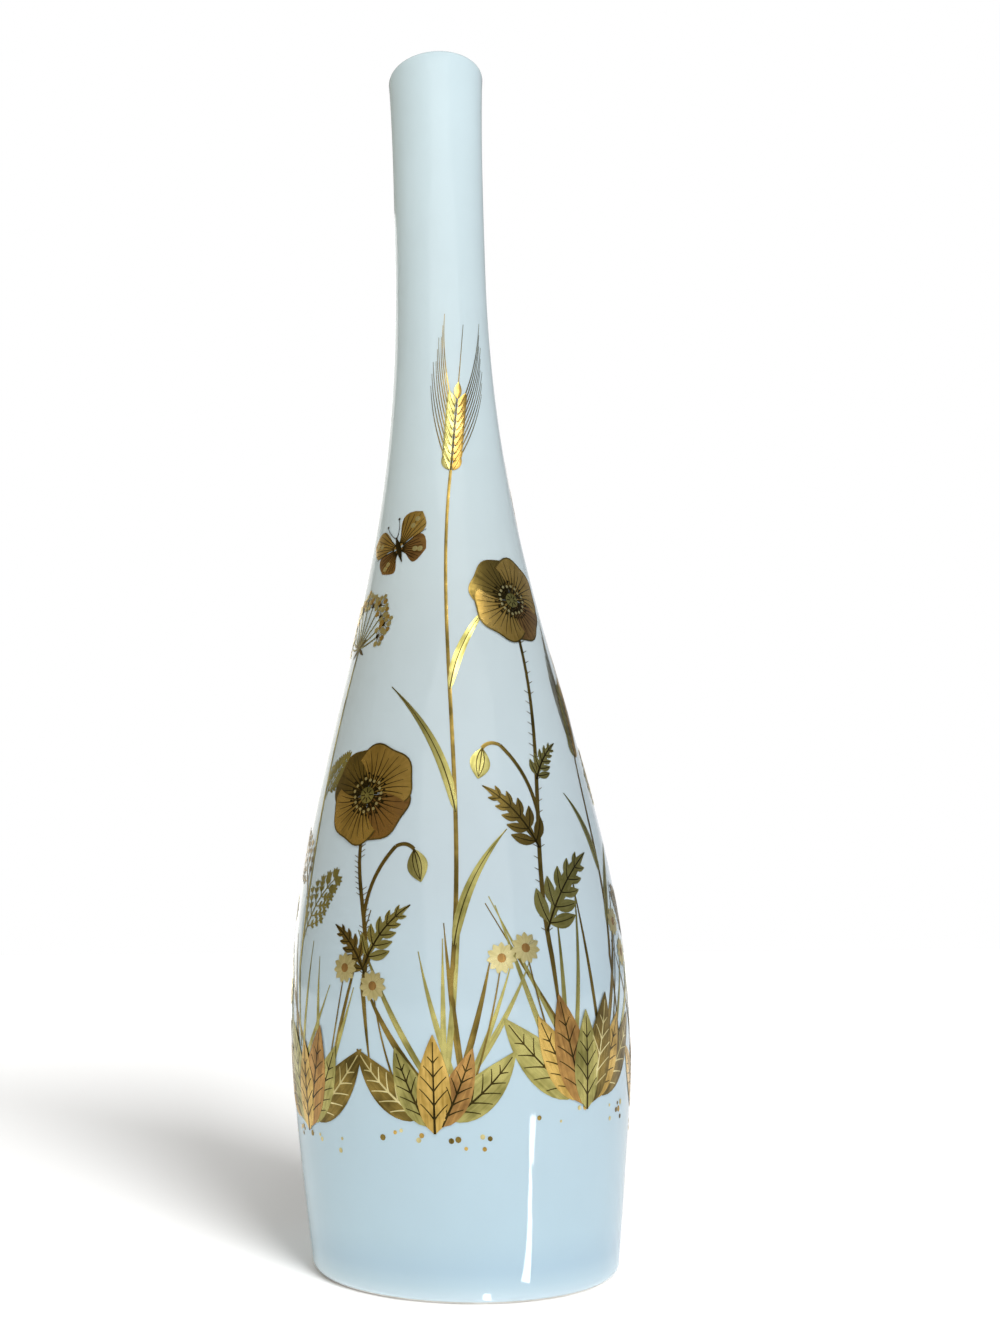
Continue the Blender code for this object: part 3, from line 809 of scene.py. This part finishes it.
clumps = dict(
    plants={
        "gilt_leaves_front": dict(at=-8.0, foot=38.0, reach=20.0, count=5),
        "gilt_leaves_right": dict(at=43.0, foot=42.0, reach=24.0, count=7),
        "gilt_leaves_far_right": dict(at=95.0, foot=37.0, reach=21.0, count=5),
        "gilt_leaves_back_right": dict(at=146.0, foot=41.0, reach=21.0, count=5),
        "gilt_leaves_back_left": dict(at=-162.0, foot=37.0, reach=22.0, count=7),
        "gilt_leaves_far_left": dict(at=-111.0, foot=42.0, reach=21.0, count=5),
        "gilt_leaves_left": dict(at=-60.0, foot=36.0, reach=23.0, count=7),
    },
    grasses=9, grassFrom=-34.0, grassTurn=8.5, grassReach=(1.2, 2.0), grassWidth=(0.9, 1.5), grassBow=0.08,
    fills=("bronzeGold", "greenGold", "yellowGold", "copperGold", "greenGold", "bronzeGold", "yellowGold"),
    leafTurn=47.0, leafWidth=0.36, leafBow=0.1, leafShorter=0.14, leafSpread=3.0, leafLow=4.0,
    ribWidth=0.55, veinPairs=5, veinTurn=42.0, veinWidth=0.34,
    daisyAside=6.0, daisyTurn=16.0, daisyReach=30.0, daisyStemWidth=0.55,
    daisyRadius=3.3, daisyPetals=11, daisyPetalWidth=0.46, daisyRoot=0.25, daisyEye=0.3,
    dots=11, dotSpread=15.0, dotLow=(3.5, 7), dotRadius=(0.3, 0.7),
    dotTones=("yellowGold", "bronzeGold", "paleGold"),
)


def addGrasses(bm, clump, look):
    for i in range(look["grasses"]):
        heading = look["grassFrom"] + look["grassTurn"] * i + dice.uniform(-3, 3)
        start = (dice.uniform(-9, 9), clump["foot"] + 3 + dice.uniform(-2, 2))
        reach = clump["reach"] * dice.uniform(*look["grassReach"])
        blade = bowedPath(start, heading, reach, heading * look["grassBow"], 16)
        widths = leafWidths(dice.uniform(*look["grassWidth"]), 16, 0.3)
        addStroke(bm, blade, widths, 0.1 + 0.01 * i, "greenGold" if i % 3 else "bronzeGold")


def addVeinedLeaf(bm, path, width, lift, fill, look):
    steps = len(path) - 1
    halves = leafWidths(width, steps)
    lineTone = "paleGold" if fill == "bronzeGold" else "darkBronze"
    addStroke(bm, path, halves, lift, fill, across=6, crown=0.05)
    addLine(bm, path[:-1], look["ribWidth"], lift + 0.07, lineTone, tip=0.4)
    for i in range(look["veinPairs"]):
        row = round(2 + (steps - 6) * i / (look["veinPairs"] - 1))
        lean = headingOf(path[row + 1] - path[row])
        reach = halves[row + 2] * 1.25
        for side in (-1, 1):
            vein = bowedPath(path[row], lean + side * look["veinTurn"], reach, -side * reach * 0.06, 4)
            addLine(bm, vein, look["veinWidth"], lift + 0.07, lineTone)


def addLeafFan(bm, clump, number, look):
    count = clump["count"]
    spreads = [2 * i / (count - 1) - 1 for i in range(count)]
    for layer, i in enumerate(sorted(range(count), key=lambda i: -abs(spreads[i]))):  # the outer leaves first
        spread = spreads[i]
        length = clump["reach"] * (1 - look["leafShorter"] * (i % 2))
        start = (spread * look["leafSpread"], clump["foot"] - look["leafLow"] + 3 * abs(spread))
        path = bowedPath(start, spread * look["leafTurn"], length, spread * length * look["leafBow"], 14)
        fill = look["fills"][(i + number) % len(look["fills"])]
        addVeinedLeaf(bm, path, length * look["leafWidth"], 0.24 + 0.06 * layer, fill, look)


def addDaisy(bm, centre, lift, look):
    radius, root = look["daisyRadius"], look["daisyRoot"]
    widths = leafWidths(radius * look["daisyPetalWidth"], 6, 0.62)
    for i in range(look["daisyPetals"]):
        heading = i * 360 / look["daisyPetals"]
        petal = bowedPath(centre + headingVector(heading) * root, heading, radius - root, 0, 6)
        addStroke(bm, petal, widths, lift + 0.01 * (i % 3), "paleGold")
    addDot(bm, centre, radius * look["daisyEye"], lift + 0.08, "copperGold", 12)


def makeClumps(look):
    for number, (node, clump) in enumerate(look["plants"].items()):
        bm = startGilding()
        addGrasses(bm, clump, look)
        addLeafFan(bm, clump, number, look)
        for side in (-1, 1):
            start = (side * look["daisyAside"], clump["foot"])
            reach = look["daisyReach"] + 4 * (number % 3) + side * 3
            stem = bowedPath(start, side * look["daisyTurn"], reach, side * 2, 12)
            addLine(bm, stem, look["daisyStemWidth"], 0.22, "bronzeGold")
            addDaisy(bm, stem[-1], 0.28, look)
        for i in range(look["dots"]):
            across = dice.uniform(-look["dotSpread"], look["dotSpread"])
            spot = (across, clump["foot"] - dice.uniform(*look["dotLow"]))
            radius = dice.uniform(*look["dotRadius"])
            addDot(bm, spot, radius, 0.12, dice.choice(look["dotTones"]), 8)
        finishGilding(bm, node, clump["at"])


# butterflies with open wings

butterflies = dict(
    flies={
        "gilt_butterfly_front": dict(at=-36.0, centre=168.0, wing=8.0, tilt=-20.0),
        "gilt_butterfly_back": dict(at=-150.0, centre=184.0, wing=7.5, tilt=20.0),
    },
    wings=(  # turn, reach, width, tone and lift
        (118, 0.95, 0.95, "copperGold", 0.16), (52, 1.35, 0.9, "yellowGold", 0.26),
    ),
    veins=3, veinTurn=9.0, veinReach=0.92, veinShorter=0.05, lineWidth=0.24,
    spots=(0.62, 0.8), spotRadius=0.7,
    feelerFrom=3.0, feelerTurn=22.0, feelerLength=5.5, feelerBow=0.8, feelerTip=0.35,
    bodyBack=0.5, bodyLength=0.95, bodyWidth=1.5,
)


def addWing(bm, middle, turn, side, reach, width, lift, fill, look):
    path = bowedPath(middle, turn, reach, -side * 0.6, 12)
    addStroke(bm, path, leafWidths(width, 12, 0.68), lift, fill, across=8, crown=0.06)
    for i in range(-look["veins"], look["veins"] + 1):
        share = look["veinReach"] - look["veinShorter"] * abs(i)
        vein = bowedPath(middle, turn + i * look["veinTurn"], reach * share, 0, 6)
        addLine(bm, vein[1:], look["lineWidth"], lift + 0.09, "darkBronze")
    for share in look["spots"]:
        spot = middle + headingVector(turn) * reach * share
        addDot(bm, spot, look["spotRadius"], lift + 0.12, "paleGold", 10)


def makeButterflies(look):
    for node, fly in look["flies"].items():
        bm = startGilding()
        wing, tilt = fly["wing"], fly["tilt"]
        middle = Vector((0, fly["centre"]))
        for side in (-1, 1):
            for heading, reach, width, fill, lift in look["wings"]:
                addWing(bm, middle, tilt + side * heading, side, wing * reach, wing * width, lift, fill, look)
            brow = middle + headingVector(tilt) * look["feelerFrom"]
            turn = tilt + side * look["feelerTurn"]
            feeler = bowedPath(brow, turn, look["feelerLength"], side * look["feelerBow"], 8)
            addLine(bm, feeler, look["lineWidth"], 0.36, "darkBronze")
            addDot(bm, feeler[-1], look["feelerTip"], 0.36, "darkBronze", 8)
        tail = middle - headingVector(tilt) * wing * look["bodyBack"]
        body = bowedPath(tail, tilt, wing * look["bodyLength"], 0, 10)
        addStroke(bm, body, leafWidths(look["bodyWidth"], 10, 0.55), 0.4, "darkBronze", across=4, crown=0.2)
        finishGilding(bm, node, fly["at"])


makePoppies(poppies)
makeUmbels(umbels)
makeBarley(barley)
makeClumps(clumps)
makeButterflies(butterflies)
print("gilding drawn:", sum(len(piece.data.polygons) for piece in giltPieces))


# floor, light and camera, in metres

stageLook = dict(
    floorSize=6.0, floorGap=0.0001, floorColour="#E6E6E6", roughness=0.9,
    glowNear=0.13, glowFrom=0.3, glowFull=2.0,  # the floor turns white with the distance from the vase
    glowMirrored=0.3,  # the share of that which the glaze and the gold mirror
)


def makeFloor(look):
    bm = bmesh.new()
    bmesh.ops.create_grid(bm, x_segments=1, y_segments=1, size=look["floorSize"])
    mesh = bpy.data.meshes.new("paleFloor")
    bm.to_mesh(mesh)
    bm.free()
    floor = bpy.data.objects.new("paleFloor", mesh)
    floor.location.z = cadBox[0][2] - look["floorGap"]
    bpy.context.scene.collection.objects.link(floor)
    material, tree, place, shader = startMaterial("paleFloor")
    shader.inputs["Base Color"].default_value = hexColour(look["floorColour"])
    shader.inputs["Roughness"].default_value = look["roughness"]
    shader.inputs["Specular IOR Level"].default_value = 0.0
    path = addNode(tree, "ShaderNodeLightPath")
    seen = addNode(
        tree, "ShaderNodeMath",
        {0: path.outputs["Is Glossy Ray"], 1: look["glowMirrored"], 2: path.outputs["Is Camera Ray"]},
        operation="MULTIPLY_ADD",
    )
    away = addNode(tree, "ShaderNodeVectorMath", {0: place}, operation="LENGTH")
    fade = addNode(
        tree, "ShaderNodeMapRange",
        {
            "Value": away.outputs["Value"], "From Min": look["glowFrom"], "From Max": look["glowFull"],
            "To Min": look["glowNear"],
        },
        interpolation_type="SMOOTHSTEP",
    )
    glow = addNode(tree, "ShaderNodeMath", {0: seen.outputs[0], 1: fade.outputs[0]}, operation="MULTIPLY")
    shader.inputs["Emission Color"].default_value = hexColour("#FFFFFF")
    tree.links.new(glow.outputs[0], shader.inputs["Emission Strength"])
    mesh.materials.append(material)
    return floor


roomLight = dict(
    level=0.34, walls={0.12: "#EBDDB8", 0.5: "#FFFFFF", 0.95: "#DEE3E8"},  # from the left to the right
    backdropFrom=0.8, backdropFull=0.96,
)


def makeRoom(look):
    world = bpy.data.worlds.new("paleRoom")
    bpy.context.scene.world = world
    world.use_nodes = True
    tree = world.node_tree
    tree.nodes.clear()
    coords = addNode(tree, "ShaderNodeTexCoord")
    parts = addNode(tree, "ShaderNodeSeparateXYZ", {"Vector": coords.outputs["Generated"]})
    aside = addNode(tree, "ShaderNodeMapRange", {"Value": parts.outputs["X"], "From Min": -1.0})
    walls = addNode(
        tree, "ShaderNodeValToRGB", {"Fac": aside.outputs[0]},
        stops=[(share, hexColour(text)) for share, text in look["walls"].items()],
    )
    behind = addNode(
        tree, "ShaderNodeMapRange",
        {
            "Value": parts.outputs["Y"], "From Min": look["backdropFrom"], "From Max": look["backdropFull"],
            "To Min": look["level"],
        },
    )
    room = addNode(
        tree, "ShaderNodeBackground", {"Color": walls.outputs["Color"], "Strength": behind.outputs[0]}
    )
    paper = addNode(tree, "ShaderNodeBackground", {"Color": hexColour("#FFFFFF"), "Strength": 1.0})
    path = addNode(tree, "ShaderNodeLightPath")
    air = addNode(
        tree, "ShaderNodeMixShader",
        {0: path.outputs["Is Camera Ray"], 1: room.outputs[0], 2: paper.outputs[0]},
    )
    addNode(tree, "ShaderNodeOutputWorld", {"Surface": air.outputs[0]})


softboxes = {
    "windowLight": dict(bearing=9.0, rise=17.0, away=1.0, size=(1.2, 0.9), power=2.5),
    "sideLight": dict(bearing=25.0, rise=51.0, away=1.2, size=(0.4, 0.4), power=5.0, gloss=False),
    "giltLight": dict(bearing=20.0, rise=48.0, away=1.1, size=(0.5, 0.5), power=5.5, giltOnly=True),
    "backFill": dict(bearing=200.0, rise=16.0, away=1.2, size=(0.9, 0.9), power=2.6),
}
lampAim = Vector((0, 0, 0.13))
shadowLight = dict(bearing=28.0, rise=17.0, spread=24.0, strength=6.1)  # lights the floor only
streakHeight = 0.0005
streakLights = {  # low strips that draw the streak on the belly and the glint at the foot's edge
    "lowerStrip": dict(near=(0.0180, -0.0387), far=(0.0715, -0.0846), width=0.003, power=0.0091),
    "upperStrip": dict(near=(0.0723, -0.0838), far=(0.1148, -0.1202), width=0.007, power=0.0168),
    "glintStrip": dict(near=(0.0046, -0.0346), far=(0.0056, -0.0386), width=0.0018, power=0.00030),
}


def lampDirection(look):
    turn = math.radians(look["bearing"])
    rise = math.radians(look["rise"])
    return Vector((math.sin(turn) * math.cos(rise), -math.cos(turn) * math.cos(rise), math.sin(rise)))


def placeLamp(name, size, power, place, turn):
    lamp = bpy.data.lights.new(name, "AREA")
    lamp.shape = "RECTANGLE"
    lamp.size, lamp.size_y = size
    lamp.energy = power
    holder = bpy.data.objects.new(name, lamp)
    holder.location = place
    holder.rotation_euler = turn
    holder.visible_camera = False
    bpy.context.scene.collection.objects.link(holder)
    return holder


def lightOnly(lamp, pieces):
    lit = bpy.data.collections.new(lamp.name + "Reach")
    for piece in pieces:
        lit.objects.link(piece)
    lamp.light_linking.receiver_collection = lit


def makeLights(boxes):
    for name, box in boxes.items():
        out = lampDirection(box)
        turn = out.to_track_quat("Z", "Y").to_euler()
        lamp = placeLamp(name, box["size"], box["power"], lampAim + out * box["away"], turn)
        lamp.visible_glossy = box.get("gloss", True)
        if box.get("giltOnly"):
            lightOnly(lamp, giltPieces)


def makeStreaks(strips):
    for name, strip in strips.items():
        near, far = Vector(strip["near"]), Vector(strip["far"])
        run = far - near
        middle = (near + far) / 2
        lamp = placeLamp(
            name, (run.length, strip["width"]), strip["power"],
            (middle.x, middle.y, streakHeight), (math.pi, 0, math.atan2(run.y, run.x)),
        )
        lamp.visible_diffuse = False  # seen in the glaze only


def makeShadow(look, floor):
    lamp = bpy.data.lights.new("shadowLight", "SUN")
    lamp.energy = look["strength"]
    lamp.angle = math.radians(look["spread"])
    holder = bpy.data.objects.new("shadowLight", lamp)
    holder.rotation_euler = lampDirection(look).to_track_quat("Z", "Y").to_euler()
    bpy.context.scene.collection.objects.link(holder)
    lightOnly(holder, [floor])


viewpoint = dict(place=(0.0, -0.3218, 0.0740), yaw=4.974, pitch=11.919, roll=0.3746, lens=34.80, shift=0.120)


def makeCamera(view):
    camera = bpy.data.cameras.new("frontCamera")
    camera.sensor_width = 36.0
    camera.lens = view["lens"]
    camera.shift_x = view["shift"]
    camera.clip_start = 0.01
    holder = bpy.data.objects.new("frontCamera", camera)
    place = Matrix.Translation(view["place"])
    for key, axis in (("yaw", "Z"), ("pitch", "X"), ("roll", "Y")):
        place = place @ Matrix.Rotation(math.radians(view[key]), 4, axis)
    holder.matrix_world = place @ Matrix.Rotation(math.pi / 2, 4, "X")  # from looking down to looking ahead
    bpy.context.scene.collection.objects.link(holder)
    bpy.context.scene.camera = holder


paleFloor = makeFloor(stageLook)
makeRoom(roomLight)
makeLights(softboxes)
makeStreaks(streakLights)
makeShadow(shadowLight, paleFloor)
makeCamera(viewpoint)
bpy.context.scene.view_settings.view_transform = "Standard"
print("stage set")
